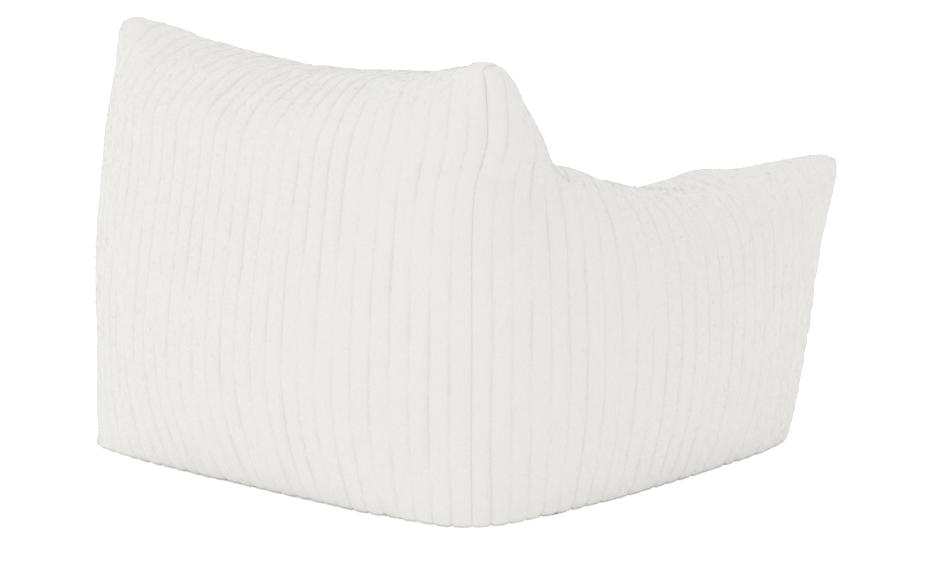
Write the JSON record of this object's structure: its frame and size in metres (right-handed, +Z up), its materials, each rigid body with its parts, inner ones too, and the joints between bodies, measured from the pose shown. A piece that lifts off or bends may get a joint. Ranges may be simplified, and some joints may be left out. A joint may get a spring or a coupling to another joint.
{
  "type": "bean bag armchair",
  "caption": "Structured bean bag armchair with a high back, arms, pointed corners and a ribbed plush cover over a zipped inner bag of loose fill.",
  "frame": {"origin": "on the floor, under the middle of the body's bounding box", "axes": "+Z up; the chair faces -Y, so +Y is its back; +X is the sitter's left. The body is mirrored about X = 0; only the zip sliders are not."},
  "size_m": [0.9852, 0.9046, 0.643],
  "materials": {
    "ivory_plush": "ribbed long-pile plush, matt",
    "grip_base_cloth": "woven, coated, matt",
    "liner_cloth": "plain woven",
    "baffle_cloth": "plain woven",
    "foam_fill": "loose foam pieces",
    "zip_tape_cloth": "woven tape",
    "zip_coil_nylon": "moulded nylon",
    "zip_slider_metal": "plated, satin",
    "label_cloth": "smooth woven, blank"
  },
  "bodies": {
    "cushion": {"cover_back_panel": "ivory_plush", "cover_side_panel_right": "ivory_plush", "cover_side_panel_left": "ivory_plush", "cover_inner_back_panel": "ivory_plush", "cover_inner_arm_panel_right": "ivory_plush", "cover_inner_arm_panel_left": "ivory_plush", "cover_seat_panel": "ivory_plush", "cover_front_panel": "ivory_plush", "cover_arm_front_panel_right": "ivory_plush", "cover_arm_front_panel_left": "ivory_plush", "cover_base_panel": "grip_base_cloth", "inner_liner": "liner_cloth", "back_baffle": "baffle_cloth", "arm_baffle_right": "baffle_cloth", "arm_baffle_left": "baffle_cloth", "fill_back": "foam_fill", "fill_arm_right": "foam_fill", "fill_arm_left": "foam_fill", "fill_seat": "foam_fill", "cover_zip_tape_front": "zip_tape_cloth", "cover_zip_coil_front": "zip_coil_nylon", "cover_zip_top_stop_front": "zip_slider_metal", "cover_zip_tape_rear": "zip_tape_cloth", "cover_zip_coil_rear": "zip_coil_nylon", "cover_zip_top_stop_rear": "zip_slider_metal", "cover_zip_bottom_stop": "zip_slider_metal", "liner_zip_tape_front": "zip_tape_cloth", "liner_zip_coil_front": "zip_coil_nylon", "liner_zip_top_stop_front": "zip_slider_metal", "liner_zip_tape_rear": "zip_tape_cloth", "liner_zip_coil_rear": "zip_coil_nylon", "liner_zip_top_stop_rear": "zip_slider_metal", "liner_zip_bottom_stop": "zip_slider_metal", "care_label": "label_cloth"},
    "cover_slider": {"cover_zip_slider": "zip_slider_metal"},
    "liner_slider": {"liner_zip_slider": "zip_slider_metal"}
  },
  "joints": [
    {"name": "cover_zip_slide", "type": "slide", "parent": "cushion", "child": "cover_slider", "axis": [-1, 0, 0], "range_m": [0, 0.554]},
    {"name": "liner_zip_slide", "type": "slide", "parent": "cushion", "child": "liner_slider", "axis": [-1, 0, 0], "range_m": [0, 0.554]}
  ]
}
